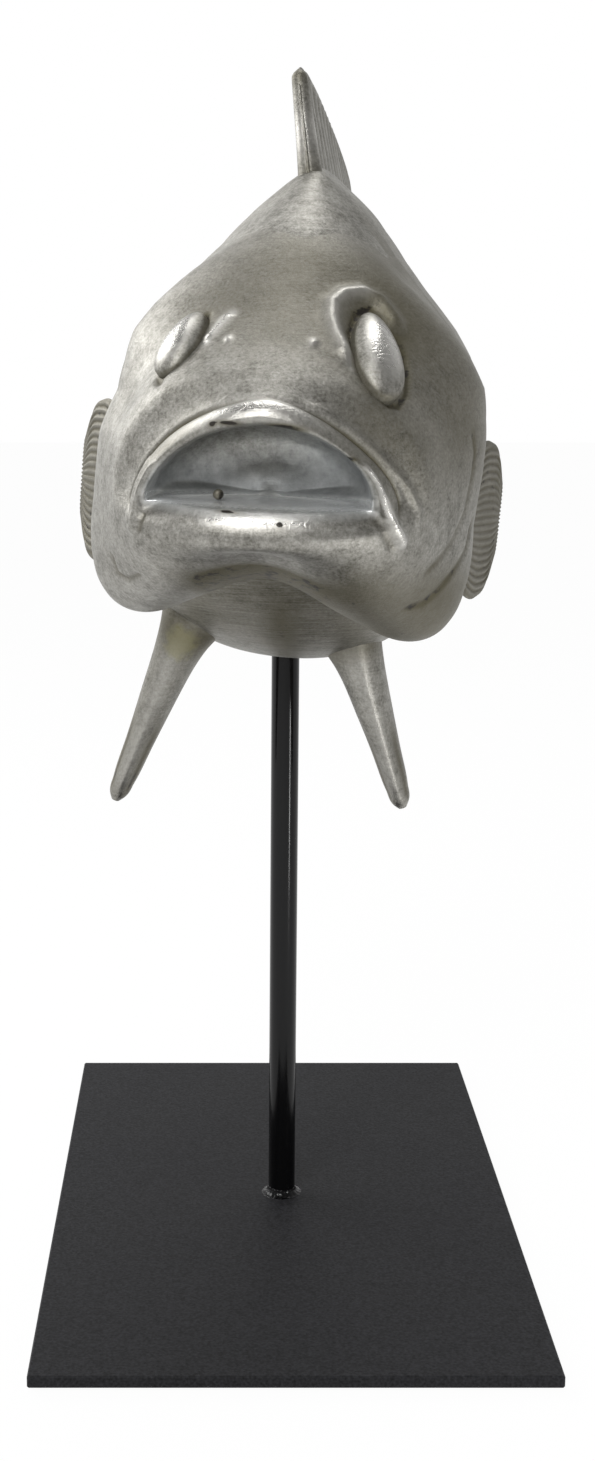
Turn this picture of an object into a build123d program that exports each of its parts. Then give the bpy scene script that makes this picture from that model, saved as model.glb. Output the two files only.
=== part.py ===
from build123d import *
import math
import os

os.makedirs("parts", exist_ok=True)

# A cast fish with a silver leaf finish, on a black steel rod and base plate.
# Millimetres, +Z up. The origin is on the rod's axis, at the level that the feet
# rest on. The fish looks along -Y. Its own left side is at +X.

# Stand
plate_width = 160.0
plate_length = 250.0
plate_thickness = 4.0
plate_edge_break = 0.5
foot_diameter = 16.0
foot_thickness = 1.8
foot_side_inset = 16.0
foot_end_inset = 18.0
rod_diameter = 9.5
rod_end_chamfer = 0.8
weld_leg = 2.4
weld_hollow_share = 0.33
belly_clearance = 199.0

# Sleeve that is cast into the belly and turns on the rod
sleeve_wall = 2.25
sleeve_length = 58.0
sleeve_cap = 3.0
sleeve_set_back = 5.0
swivel_clearance = 0.05
belly_hole_clearance = 0.6

# Fish
snout_reach = 128.0
tail_root_reach = 150.0
body_width = 117.0
body_height = 152.0
fish_lean = 4.5
fish_turn = 7.5

# Mouth
mouth_width = 62.0
mouth_rise = 21.0
mouth_floor_drop = 1.0
mouth_depth = 38.0
upper_lip_radius = 4.8
lower_lip_radius = 4.2

# Eyes
eye_diameter = 27.0
eye_bulge = 8.0
eye_seat_depth = 7.0

# Fins
dorsal_chord = 152.0
dorsal_height = 60.0
dorsal_thickness = 7.0
dorsal_lean = 13.0
dorsal_turn = 2.0
dorsal_slope = 11.5
dorsal_ray_radius = 2.4
dorsal_ray_count = 9
dorsal_spine_radius = 4.4
tail_chord = 112.0
tail_length = 84.0
tail_thickness = 13.0
tail_ray_radius = 2.6
tail_ray_count = 9
tail_notch_depth = 9.0
tail_notch_overrun = 6.0
anal_chord = 58.0
anal_height = 40.0
anal_thickness = 7.0
anal_slope = 25.7
anal_ray_radius = 2.0
anal_ray_count = 5
left_pectoral_chord = 56.0
left_pectoral_length = 50.0
right_pectoral_chord = 59.0
right_pectoral_length = 52.5
pectoral_thickness = 7.0
pectoral_ray_radius = 1.9
pectoral_ray_count = 7
left_pectoral_stand_off = 24.0
right_pectoral_stand_off = 34.5
pelvic_chord = 24.0
left_pelvic_length = 69.0
right_pelvic_length = 76.5
pelvic_thickness = 15.5
left_pelvic_spread = 24.0
right_pelvic_spread = 23.5
pelvic_sweep = 8.0

# Heights and radii that follow from these
plate_top = foot_thickness + plate_thickness
keel_drop_share = 0.474
keel_height = plate_top + belly_clearance
swim_line = keel_height + keel_drop_share * body_height
rod_radius = rod_diameter / 2
sleeve_bore_radius = rod_radius + swivel_clearance
sleeve_radius = sleeve_bore_radius + sleeve_wall
sleeve_foot = keel_height + sleeve_set_back
rod_top = sleeve_foot + sleeve_length - sleeve_cap
sleeve_top = sleeve_foot + sleeve_length

# Cross sections of the trunk, from inside the head to the tail root. Each row has
# the station (share of the snout's or the tail root's reach), the height of the
# widest line above the swim line (share of the body height), the half width
# (share of the body width), the rise and the drop (shares of the body height)
# and how square the upper and the lower half are (2 is an ellipse).
trunk_shares = [
    (-0.688, -0.030, 0.300, 0.230, 0.200, 1.80, 2.20),
    (-0.500, -0.006, 0.415, 0.400, 0.350, 1.70, 2.25),
    (-0.250, 0.000, 0.464, 0.507, 0.458, 1.62, 2.30),
    (0.000, 0.000, 0.470, 0.526, 0.474, 1.62, 2.30),
    (0.267, 0.006, 0.427, 0.487, 0.454, 1.70, 2.20),
    (0.533, 0.013, 0.333, 0.382, 0.368, 1.90, 2.00),
    (0.787, 0.020, 0.197, 0.250, 0.243, 2.00, 2.00),
    (0.970, 0.026, 0.108, 0.171, 0.164, 2.00, 2.00),
    (1.000, 0.026, 0.070, 0.140, 0.134, 2.00, 2.00),
]

# Cross sections of the head, from behind the gill covers to the snout, with one
# more share: how far the chin is lifted between the two jowls.
head_shares = [
    (-0.080, -0.026, 0.486, 0.545, 0.372, 1.56, 3.20, 0.262),
    (-0.344, -0.033, 0.500, 0.503, 0.392, 1.61, 3.40, 0.236),
    (-0.516, -0.039, 0.490, 0.423, 0.372, 1.88, 3.40, 0.190),
    (-0.672, -0.046, 0.432, 0.318, 0.303, 1.80, 3.20, 0.098),
    (-0.797, -0.053, 0.372, 0.247, 0.230, 2.00, 3.20, 0.053),
    (-0.880, -0.059, 0.318, 0.199, 0.168, 2.15, 3.20, 0.033),
    (-0.932, -0.059, 0.258, 0.162, 0.126, 2.20, 3.00, 0.020),
    (-0.962, -0.059, 0.170, 0.112, 0.080, 2.10, 2.60, 0.000),
]
chin_spread_share = 0.45
section_point_count = 20

# Rear edge of the gill covers, seen from the side, from the nape to below the
# jowls: station and height above the swim line.
gill_edge_shares = [
    (-0.215, 0.600),
    (-0.250, 0.360),
    (-0.225, 0.120),
    (-0.205, -0.060),
    (-0.245, -0.240),
    (-0.380, -0.400),
    (-0.540, -0.480),
]
gill_front_share = -1.2

# Centre lines of the lips, right half only, from the mouth's corner to the middle
upper_lip_shares = [(-0.800, 0.338, -0.185), (-0.850, 0.310, -0.085), (-0.915, 0.212, 0.028)]
upper_lip_middle_shares = (-0.952, 0.0, 0.082)
lower_lip_shares = [(-0.835, 0.285, -0.135), (-0.915, 0.175, -0.118)]
lower_lip_middle_shares = (-0.950, 0.0, -0.116)

# Sections of the mouth: depth behind the snout, width and rise, as shares of the
# mouth's own depth, width and rise. The roof is arched and the floor is flat.
mouth_shares = [(-0.20, 1.08, 1.08), (0.30, 1.00, 1.00), (0.70, 0.82, 0.86), (1.00, 0.48, 0.55)]
mouth_square_shares = (2.1, 5.0)
mouth_floor_share = -0.0875

# Places of the fin roots: station, across and height above the swim line
dorsal_place_shares = (0.253, 0.056, 0.330)
tail_place_shares = (0.920, 0.0, 0.026)
anal_place_shares = (0.660, 0.0, -0.222)
left_pectoral_place_shares = (-0.190, 0.405, -0.160)
right_pectoral_place_shares = (-0.190, 0.405, -0.140)
left_pelvic_place_shares = (-0.203, 0.180, -0.360)
right_pelvic_place_shares = (-0.203, 0.246, -0.360)

# Fin sections: span, middle of the chord, half chord and half thickness, as
# shares of the fin's length, chord, chord and thickness
dorsal_shares = [
    (0.00, 0.000, 0.500, 0.50),
    (0.60, -0.010, 0.475, 0.30),
    (0.80, -0.030, 0.440, 0.25),
    (0.93, 0.000, 0.390, 0.20),
    (1.00, 0.050, 0.250, 0.14),
]
tail_shares = [
    (0.00, 0.0, 0.170, 0.50),
    (0.25, 0.0, 0.230, 0.34),
    (0.60, 0.0, 0.380, 0.17),
    (1.00, 0.0, 0.500, 0.09),
]
anal_shares = [
    (0.00, 0.00, 0.50, 0.45),
    (0.50, 0.03, 0.45, 0.32),
    (0.85, 0.06, 0.34, 0.22),
    (1.00, 0.08, 0.18, 0.14),
]
pectoral_shares = [
    (0.00, 0.0, 0.20, 0.46),
    (0.35, 0.0, 0.36, 0.34),
    (0.75, 0.0, 0.49, 0.20),
    (0.92, 0.0, 0.40, 0.15),
    (1.00, 0.0, 0.24, 0.10),
]
pelvic_shares = [
    (0.00, 0.00, 0.50, 0.52),
    (0.35, 0.00, 0.46, 0.43),
    (0.70, 0.03, 0.36, 0.31),
    (0.93, 0.05, 0.25, 0.23),
    (1.00, 0.05, 0.12, 0.12),
]

# Fan of rays in each fin: span of the outer roots, further span of the middle
# root, half spread of the roots, and the same three for the rim
dorsal_ray_shares = (0.28, 0.22, 0.42, 0.80, 0.16, 0.41)
tail_ray_shares = (0.20, 0.00, 0.18, 0.99, 0.00, 0.46)
anal_ray_shares = (0.32, 0.00, 0.40, 0.82, 0.14, 0.34)
pectoral_ray_shares = (0.34, 0.00, 0.29, 0.80, 0.17, 0.46)
ray_taper_share = 0.5

# The dorsal fin's first spine: place along the chord, lower and upper span
dorsal_spine_shares = (-0.470, 0.10, 0.815)

# Middle of each eye and the way it looks out of the head
eye_place_shares = (-0.675, 0.238, 0.172)
eye_look = (0.88, -0.28, 0.38)


def place(along, across, above):
    """A point of the fish, from shares of its reach, width and height."""
    reach = snout_reach if along < 0 else tail_root_reach
    return Vector(across * body_width, along * reach, swim_line + above * body_height)


def signed_power(value, exponent):
    """A power that keeps the sign of its base."""
    return math.copysign(abs(value) ** exponent, value)


def body_section(station, centre, half_width, rise, drop, square_up, square_down, chin_lift=0.0):
    """Closed face across the body: two superellipse halves, lifted in the middle below."""
    points = []
    for index in range(section_point_count):
        angle = 2 * math.pi * index / section_point_count
        across, above = math.cos(angle), math.sin(angle)
        square = square_up if above >= 0 else square_down
        height = rise if above >= 0 else drop
        side = half_width * signed_power(across, 2 / square)
        level = centre + height * signed_power(above, 2 / square)
        low = max(-above, 0) ** 2
        level += chin_lift * low * math.exp(-((side / (chin_spread_share * half_width)) ** 2))
        points.append(place(station, side, level))
    outline = Spline(*points, periodic=True)
    return Face(Wire([outline]))


def fin_ray(start, end, radius):
    """Round bar between two points, tapered towards the second."""
    span = end - start
    plane = Plane(origin=start, z_dir=span)
    return Solid.make_cone(radius, radius * ray_taper_share, span.length, plane)


def fin(frame, chord, length, thickness, rows, ray_radius, ray_shares):
    """Fin blade in a frame: X along the chord, Y across the blade, Z from root to rim.

    A row has the span, the chord's middle, the half chord and the half thickness,
    as shares of the length, the chord, the chord and the thickness.
    """
    faces = []
    for span, middle, half, thick in rows:
        centre = frame.from_local_coords(Vector(middle * chord, 0, span * length))
        section = Plane(origin=centre, x_dir=frame.x_dir, z_dir=frame.z_dir)
        faces.append(section * Ellipse(half * chord, thick * thickness))
    blade = loft(faces)
    rays = []
    for ends in ray_shares:
        low, high = [
            frame.from_local_coords(Vector(across * chord, 0, span * length)) for span, across in ends
        ]
        rays.append(fin_ray(low, high, ray_radius))
    return blade.fuse(*rays) if rays else blade


def fan_rays(count, root_span, root_rise, root_half, rim_span, rim_rise, rim_half):
    """Ray end points, spread evenly from a bowed root to a wider, bowed rim."""
    rays = []
    for index in range(count):
        side = 2 * index / (count - 1) - 1
        bow = 1 - side * side
        low = (root_span + root_rise * bow, side * root_half)
        high = (rim_span + rim_rise * bow, side * rim_half)
        rays.append((low, high))
    return rays


# Stand

plate = Pos(0, 0, foot_thickness + plate_thickness / 2) * Box(plate_width, plate_length, plate_thickness)
plate = chamfer(plate.edges(), plate_edge_break)

rod = Pos(0, 0, plate_top) * Cylinder(
    rod_radius, rod_top - plate_top, align=(Align.CENTER, Align.CENTER, Align.MIN)
)
rod = chamfer(rod.edges().sort_by(Axis.Z)[-1], rod_end_chamfer)

weld_corner = Vector(rod_radius, 0, plate_top)
weld_outer = Vector(rod_radius + weld_leg, 0, plate_top)
weld_upper = Vector(rod_radius, 0, plate_top + weld_leg)
weld_hollow_depth = weld_leg * weld_hollow_share
weld_hollow = Vector(rod_radius + weld_hollow_depth, 0, plate_top + weld_hollow_depth)
weld_line = Line(weld_corner, weld_outer) + ThreePointArc(weld_outer, weld_hollow, weld_upper)
weld_line += Line(weld_upper, weld_corner)
weld = revolve(make_face(weld_line), Axis.Z)

foot_x = plate_width / 2 - foot_side_inset
foot_y = plate_length / 2 - foot_end_inset
foot = Cylinder(foot_diameter / 2, foot_thickness, align=(Align.CENTER, Align.CENTER, Align.MIN))
feet = {}
for end_name, end_side in (("front", -1), ("rear", 1)):
    for side_name, side in (("left", 1), ("right", -1)):
        feet[f"foot_{end_name}_{side_name}"] = Pos(side * foot_x, end_side * foot_y, 0) * foot

sleeve = Pos(0, 0, sleeve_foot) * Cylinder(
    sleeve_radius, sleeve_length, align=(Align.CENTER, Align.CENTER, Align.MIN)
)
sleeve -= Pos(0, 0, sleeve_foot) * Cylinder(
    sleeve_bore_radius, sleeve_length - sleeve_cap, align=(Align.CENTER, Align.CENTER, Align.MIN)
)

# The fish is modelled upright and square, then leant and turned on the rod.
fish_pose = (
    Pos(0, 0, keel_height) * Rot(0, 0, -fish_turn) * Rot(0, fish_lean, 0) * Pos(0, 0, -keel_height)
)

# Body: the trunk runs into the head, whose gill covers stand proud of it
trunk = loft([body_section(*row) for row in trunk_shares])
head = loft([body_section(*row) for row in head_shares])
gill_points = []
for along, above in gill_edge_shares:
    gill_points.append(place(along, 0, above))
front_top = place(gill_front_share, 0, gill_edge_shares[0][1])
front_low = place(gill_front_share, 0, gill_edge_shares[-1][1])
gill_line = Spline(*gill_points) + Polyline(gill_points[-1], front_low, front_top, gill_points[0])
gill_block = extrude(make_face(gill_line), amount=body_width, both=True, dir=(1, 0, 0))
head = head & gill_block

# Mouth: a cavity between two rolled lips
mouth_faces = []
for deep, wide, high in mouth_shares:
    station = (deep * mouth_depth - snout_reach) / snout_reach
    half_width = wide * mouth_width / 2 / body_width
    rise = high * mouth_rise / body_height
    drop = mouth_floor_drop / body_height
    sizes = (mouth_floor_share, half_width, rise, drop)
    mouth_faces.append(body_section(station, *sizes, *mouth_square_shares))
mouth = loft(mouth_faces)


def lip(side_shares, middle_shares, radius):
    """Round roll of flesh along one jaw, from one corner of the mouth to the other."""
    right = [place(*row) for row in side_shares]
    left = [Vector(-point.X, point.Y, point.Z) for point in reversed(right)]
    path = Spline(*right, place(*middle_shares), *left)
    roll = sweep(Plane(origin=path @ 0, z_dir=path % 0) * Circle(radius), path=path)
    for end in (right[0], left[-1]):
        roll += Pos(*end) * Sphere(radius)
    return roll


body = trunk + head - mouth
body += lip(upper_lip_shares, upper_lip_middle_shares, upper_lip_radius)
body += lip(lower_lip_shares, lower_lip_middle_shares, lower_lip_radius)


def mirrored(shape):
    """The same shape on the fish's other side."""
    return mirror(shape, about=Plane.YZ)


# Eyes: domes on short round seats, set into the head
dome_edge = Vector(eye_diameter / 2, 0, 0)
dome_top = Vector(0, 0, eye_bulge)
dome_radius = (eye_diameter**2 / 4 + eye_bulge**2) / (2 * eye_bulge)
dome_turn = math.asin(eye_diameter / 2 / dome_radius) / 2
dome_middle = Vector(
    dome_radius * math.sin(dome_turn), 0, eye_bulge - dome_radius * (1 - math.cos(dome_turn))
)
seat_edge = Vector(eye_diameter / 2, 0, -eye_seat_depth)
seat_middle = Vector(0, 0, -eye_seat_depth)
eye_line = ThreePointArc(dome_edge, dome_middle, dome_top)
eye_line += Polyline(dome_top, seat_middle, seat_edge, dome_edge)
eye_dome = revolve(make_face(eye_line), Axis.Z)
left_eye = Plane(origin=place(*eye_place_shares), z_dir=Vector(*eye_look)) * eye_dome

# Dorsal fin: a long blade down the back with a stout first spine. It leans over.
dorsal_frame = Plane(origin=place(*dorsal_place_shares), x_dir=(0, 1, 0), z_dir=(0, 0, 1))
dorsal_frame = dorsal_frame.rotated((0, 0, -dorsal_turn))
dorsal_frame = Plane(dorsal_frame.location * Rot(-dorsal_lean, dorsal_slope, 0))
dorsal_size = (dorsal_chord, dorsal_height, dorsal_thickness)
dorsal_rays = fan_rays(dorsal_ray_count, *dorsal_ray_shares)
dorsal_fin = fin(dorsal_frame, *dorsal_size, dorsal_shares, dorsal_ray_radius, dorsal_rays)
spine_along, spine_low, spine_high = dorsal_spine_shares
spine_root, spine_tip = [
    dorsal_frame.from_local_coords(Vector(spine_along * dorsal_chord, 0, span * dorsal_height))
    for span in (spine_low, spine_high)
]
dorsal_fin += fin_ray(spine_root, spine_tip, dorsal_spine_radius)
dorsal_fin += Pos(*spine_tip) * Sphere(dorsal_spine_radius * ray_taper_share)

# Tail fin: a fan on edge with a hollowed rear rim
tail_frame = Plane(origin=place(*tail_place_shares), x_dir=(0, 0, 1), z_dir=(0, 1, 0))
tail_size = (tail_chord, tail_length, tail_thickness)
tail_rays = fan_rays(tail_ray_count, *tail_ray_shares)
tail_fin = fin(tail_frame, *tail_size, tail_shares, tail_ray_radius, tail_rays)
notch_radius = (tail_chord**2 / 4 + tail_notch_depth**2) / (2 * tail_notch_depth)
notch_centre = tail_frame.from_local_coords(Vector(0, 0, tail_length - tail_notch_depth + notch_radius))
notch_width = tail_thickness + tail_notch_overrun
tail_fin -= Pos(*notch_centre) * Rot(0, 90, 0) * Cylinder(notch_radius, notch_width)

# Anal fin: a short blade under the tail root
slope = math.radians(anal_slope)
anal_frame = Plane(
    origin=place(*anal_place_shares),
    x_dir=(0, math.cos(slope), math.sin(slope)),
    z_dir=(0, math.sin(slope), -math.cos(slope)),
)
anal_size = (anal_chord, anal_height, anal_thickness)
anal_rays = fan_rays(anal_ray_count, *anal_ray_shares)
anal_fin = fin(anal_frame, *anal_size, anal_shares, anal_ray_radius, anal_rays)

# Pectoral fins: fans behind the gill covers, standing off the flanks
pectoral_rays = fan_rays(pectoral_ray_count, *pectoral_ray_shares)


def pectoral_fin(root_shares, chord, length, stand_off):
    """Fan on the fish's left flank, turned out from it by the given angle."""
    turn = math.radians(stand_off)
    outward = (math.sin(turn), math.cos(turn), 0)
    frame = Plane(origin=place(*root_shares), x_dir=(0, 0, 1), z_dir=outward)
    size = (chord, length, pectoral_thickness)
    return fin(frame, *size, pectoral_shares, pectoral_ray_radius, pectoral_rays)


# Pelvic fins: stout tapering fingers under the belly


def pelvic_fin(root_shares, length, spread):
    """Finger under the fish's left side, from its root's place and its tip's spread."""
    drop = math.sqrt(length**2 - spread**2 - pelvic_sweep**2)
    downward = (spread, pelvic_sweep, -drop)
    frame = Plane(origin=place(*root_shares), x_dir=(0, 1, 0), z_dir=downward)
    return fin(frame, pelvic_chord, length, pelvic_thickness, pelvic_shares, 0, [])


left_pectoral_size = (left_pectoral_chord, left_pectoral_length, left_pectoral_stand_off)
right_pectoral_size = (right_pectoral_chord, right_pectoral_length, right_pectoral_stand_off)
left_pelvic_size = (left_pelvic_length, left_pelvic_spread)
right_pelvic_size = (right_pelvic_length, right_pelvic_spread)

# The fins and eyes are let into the body, each in a pocket of its own shape.
fish_parts = {
    "dorsal_fin": dorsal_fin,
    "tail_fin": tail_fin,
    "anal_fin": anal_fin,
    "left_pectoral_fin": pectoral_fin(left_pectoral_place_shares, *left_pectoral_size),
    "right_pectoral_fin": mirrored(pectoral_fin(right_pectoral_place_shares, *right_pectoral_size)),
    "left_pelvic_fin": pelvic_fin(left_pelvic_place_shares, *left_pelvic_size),
    "right_pelvic_fin": mirrored(pelvic_fin(right_pelvic_place_shares, *right_pelvic_size)),
    "left_eye": left_eye,
    "right_eye": mirrored(left_eye),
}
for piece in fish_parts.values():
    body -= piece
body = fish_pose * body

# The sleeve is upright on the rod, whatever the fish's lean.
body -= Pos(0, 0, sleeve_foot) * Cylinder(
    sleeve_radius, sleeve_length, align=(Align.CENTER, Align.CENTER, Align.MIN)
)
body -= Pos(0, 0, keel_height - sleeve_set_back) * Cylinder(
    rod_radius + belly_hole_clearance, sleeve_length, align=(Align.CENTER, Align.CENTER, Align.MIN)
)

nodes = {
    "base_plate": plate,
    "support_rod": rod,
    "weld_bead": weld,
    "rod_sleeve": sleeve,
    "fish_body": body,
}
nodes.update(feet)
for name, piece in fish_parts.items():
    nodes[name] = fish_pose * piece
for name, shape in nodes.items():
    export_step(shape, f"parts/{name}.step")
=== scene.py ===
import math

import bpy
import numpy as np
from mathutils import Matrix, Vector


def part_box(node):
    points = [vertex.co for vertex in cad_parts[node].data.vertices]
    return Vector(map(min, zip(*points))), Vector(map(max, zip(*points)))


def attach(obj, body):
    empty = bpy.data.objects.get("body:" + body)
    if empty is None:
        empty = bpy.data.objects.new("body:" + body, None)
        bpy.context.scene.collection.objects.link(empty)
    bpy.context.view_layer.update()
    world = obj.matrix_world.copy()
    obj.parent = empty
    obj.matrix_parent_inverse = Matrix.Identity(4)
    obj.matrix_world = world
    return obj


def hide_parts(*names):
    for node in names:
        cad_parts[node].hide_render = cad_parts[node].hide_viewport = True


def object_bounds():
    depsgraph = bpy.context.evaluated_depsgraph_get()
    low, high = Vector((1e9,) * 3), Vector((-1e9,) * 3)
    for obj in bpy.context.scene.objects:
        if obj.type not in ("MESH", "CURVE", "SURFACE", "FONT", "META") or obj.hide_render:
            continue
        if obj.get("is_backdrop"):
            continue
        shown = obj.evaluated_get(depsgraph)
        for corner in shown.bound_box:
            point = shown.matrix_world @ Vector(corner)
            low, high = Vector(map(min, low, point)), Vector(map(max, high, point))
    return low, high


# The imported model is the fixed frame: a steel stand and a cast fish that turns on it.
# Lengths are in metres. The fish looks along -Y, and its own left side is at +X.
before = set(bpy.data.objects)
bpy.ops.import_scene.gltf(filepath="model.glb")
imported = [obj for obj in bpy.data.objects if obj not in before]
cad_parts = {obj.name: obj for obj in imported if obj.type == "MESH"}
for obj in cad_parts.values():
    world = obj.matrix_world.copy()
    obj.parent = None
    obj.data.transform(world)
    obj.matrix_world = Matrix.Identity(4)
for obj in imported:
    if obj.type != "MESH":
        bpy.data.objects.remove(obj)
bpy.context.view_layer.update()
MM = 0.001


# Base plate: 4 mm steel sheet, guillotined and powder coated in matte black. Baked
# powder leaves a thick even skin with a faint pebble and no gloss.


def linear(code):
    """Linear colour of an sRGB hex code, by the sRGB curve: a straight foot, then a power of 2.4."""
    values = np.array([int(code[i:i + 2], 16) for i in (1, 3, 5)]) / 255
    bent = np.where(values <= 0.04045, values / 12.92, ((values + 0.055) / 1.055) ** 2.4)
    return (*bent.tolist(), 1.0)


def wire(node, inputs):
    """Gives a node's inputs their values. A socket is linked, and so is a node, by its first
    output. Anything else is set, a hex code as its linear colour."""
    for name, value in inputs.items():
        if isinstance(value, bpy.types.Node):
            value = value.outputs[0]
        if isinstance(value, bpy.types.NodeSocket):
            node.id_data.links.new(value, node.inputs[name])
        else:
            node.inputs[name].default_value = linear(value) if isinstance(value, str) else value


def add(tree, kind, inputs=None, **own):
    """Adds a node with its own properties and its inputs."""
    node = tree.nodes.new("ShaderNode" + kind)
    for name, value in own.items():
        setattr(node, name, value)
    wire(node, inputs or {})
    return node


def new_material(name):
    """A material with one Principled shader: the material, its tree, the shader and its Object
    coordinates."""
    material = bpy.data.materials.new(name)
    material.use_nodes = True
    tree = material.node_tree
    tree.nodes.clear()
    shader = add(tree, "BsdfPrincipled")
    add(tree, "OutputMaterial", {"Surface": shader})
    return material, tree, shader, add(tree, "TexCoord").outputs["Object"]


def powder_coat():
    """Baked powder on steel: a dull black skin of fine pebbles, greyer on their tops."""
    pebble_size = 0.9 * MM  # real ones are nearer 0.3 mm, drawn coarser so that they show
    cloud_size = 45 * MM
    material, tree, shader, place = new_material("powder_coated_steel")
    pebbles = add(tree, "TexNoise", {"Vector": place, "Scale": 1 / pebble_size, "Detail": 3.0})
    cloud = add(tree, "TexNoise", {"Vector": place, "Scale": 1 / cloud_size, "Detail": 4.0})
    tone = add(tree, "Math", {0: pebbles, 1: 1.9, 2: -0.7}, operation="MULTIPLY_ADD")
    tone = add(tree, "Math", {0: cloud, 1: 0.4, 2: tone}, operation="MULTIPLY_ADD")
    wire(shader, {
        "Base Color": add(tree, "MixRGB", {"Fac": tone, "Color1": "#0C0C0D", "Color2": "#2D2D30"}),
        "Roughness": add(tree, "MapRange", {"Value": cloud, "To Min": 0.50, "To Max": 0.68}),
        "Normal": add(tree, "Bump", {"Height": pebbles, "Strength": 0.35, "Distance": 0.2 * MM}),
        "IOR": 1.5, "Specular IOR Level": 0.15,
    })
    return material


def dress(node, material):
    """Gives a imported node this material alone."""
    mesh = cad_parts[node].data
    mesh.materials.clear()
    mesh.materials.append(material)


dress("base_plate", powder_coat())


# Feet: four stick-on pads of plain black rubber, dull and slightly dusty, which
# keep the plate off the table.


def pad_rubber():
    """Die-cut rubber: charcoal, no gloss, with a fine sanded grain."""
    grain_size = 0.6 * MM
    material, tree, shader, place = new_material("black_rubber")
    grain = add(tree, "TexNoise", {"Vector": place, "Scale": 1 / grain_size, "Detail": 2.0})
    wire(shader, {
        "Base Color": add(tree, "MixRGB", {"Fac": grain, "Color1": "#161616", "Color2": "#2C2B2A"}),
        "Normal": add(tree, "Bump", {"Height": grain, "Strength": 0.3, "Distance": 0.1 * MM}),
        "Roughness": 0.8, "IOR": 1.5, "Specular IOR Level": 0.3,
    })
    return material


rubber = pad_rubber()
for end in ("front", "rear"):
    for side in ("left", "right"):
        dress(f"foot_{end}_{side}", rubber)


# Support rod: 9.5 mm round bar, sprayed in a smoother enamel than the plate, so it
# carries a thin bright line down its length.
rod_low, rod_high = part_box("support_rod")
rod_radius = (rod_high.x - rod_low.x) / 2
rod_chamfer = 0.8 * MM


def piece(name, grid, material, body, nodes, slot, rim="fan", **maps):
    """Closed skin over a grid of points, whose columns run round it and whose rows run along it.

    Each end row is closed by a fan on its middle point, or by a strip across it that joins
    column k to column -k. The faces are turned outwards by the sign of the enclosed volume,
    the sum of p0 . (p1 x p2) / 6. Maps are values per point, kept as attributes.
    """
    rows, columns = grid.shape[:2]
    index = np.arange(rows * columns).reshape(rows, columns)
    side = np.roll(index, -1, axis=1)
    quads = np.stack([index[:-1], side[:-1], side[1:], index[1:]], -1).reshape(-1, 4)
    points = grid.reshape(-1, 3)
    values = {key: value.reshape(-1) for key, value in maps.items()}
    if rim == "fan":
        low, high = (np.full(columns, rows * columns + k) for k in (0, 1))
        ends = [face for fan in ([side[0], index[0], low], [index[-1], side[-1], high])
                for face in np.stack(fan, -1).tolist()]
        points = np.vstack([points, grid[0].mean(0), grid[-1].mean(0)])
        values = {key: np.append(value, [value[0], value[-1]]) for key, value in values.items()}
    else:
        near = np.arange(1, columns // 2 - 1)
        ends = []
        for row, turn in ((index[0], 1), (index[-1], -1)):
            strip = np.stack([row[near], row[near + 1], row[columns - near - 1], row[columns - near]], -1)
            tips = [[row[-1], row[0], row[1]], row[columns // 2 - 1:columns // 2 + 2].tolist()]
            ends += [face[::turn] for face in strip.tolist() + tips]
    corner = np.moveaxis(points[quads], 1, 0)
    volume = sum((corner[0] * np.cross(corner[k], corner[k + 1])).sum() for k in (1, 2))
    faces = quads.tolist() + ends
    if volume < 0:
        faces = [face[::-1] for face in faces]
    mesh = bpy.data.meshes.new(name)
    mesh.from_pydata(points.tolist(), [], faces)
    mesh.polygons.foreach_set("use_smooth", np.ones(len(mesh.polygons), bool))
    for key, value in values.items():
        mesh.attributes.new(key, "FLOAT", "POINT").data.foreach_set("value", value.astype(np.float32))
    mesh.materials.append(material)
    made = bpy.data.objects.new(name, mesh)
    bpy.context.scene.collection.objects.link(made)
    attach(made, body)
    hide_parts(*nodes)


def circle(steps):
    """Angles of a full circle, without the last one, which is the first again."""
    return np.linspace(0, 2 * math.pi, steps, endpoint=False)


def turned(profile, steps):
    """Profile of radius and height turned about the Z axis: each point goes round a full circle."""
    radius, height = np.asarray(profile, float).T[..., None]
    angle = circle(steps)
    return np.stack([radius * np.cos(angle), radius * np.sin(angle), height + 0 * angle], -1)


def rod_enamel():
    """Sprayed enamel on bar: near black, glossy, with a faint pull of the spray along it."""
    pull_width, pull_length = 1.2 * MM, 60 * MM
    material, tree, shader, place = new_material("black_enamel")
    drawn = add(tree, "Mapping", {
        "Vector": place, "Scale": (1 / pull_width, 1 / pull_width, 1 / pull_length)})
    pull = add(tree, "TexNoise", {"Vector": drawn, "Scale": 1.0, "Detail": 3.0})
    wire(shader, {
        "Base Color": add(tree, "MixRGB", {"Fac": pull, "Color1": "#050506", "Color2": "#0D0D0E"}),
        "Roughness": add(tree, "MapRange", {"Value": pull, "To Min": 0.11, "To Max": 0.19}),
        "Normal": add(tree, "Bump", {"Height": pull, "Strength": 0.15, "Distance": 0.1 * MM}),
        "IOR": 1.5, "Specular IOR Level": 0.25,
    })
    return material


enamel = rod_enamel()
rod_profile = [
    (rod_radius, rod_low.z), (rod_radius, rod_low.z + rod_chamfer),
    (rod_radius, rod_high.z - 2 * rod_chamfer), (rod_radius, rod_high.z - rod_chamfer),
    (rod_radius - rod_chamfer, rod_high.z),
]
piece("rod", turned(rod_profile, 96), enamel, "stand", ["support_rod"], "rod_enamel")


# Weld bead: the rod is MIG welded to the plate from above, in one pass all round,
# and painted over. The pass leaves a hollow fillet with small overlapping ripples.
weld_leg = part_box("weld_bead")[1].x - rod_radius
weld_sink = 0.4 * MM  # how far its skirt is sunk into the plate
ripple_count = 15
ripple_share = 0.10
wander_share, pitch_drift = 0.06, 0.25


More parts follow.
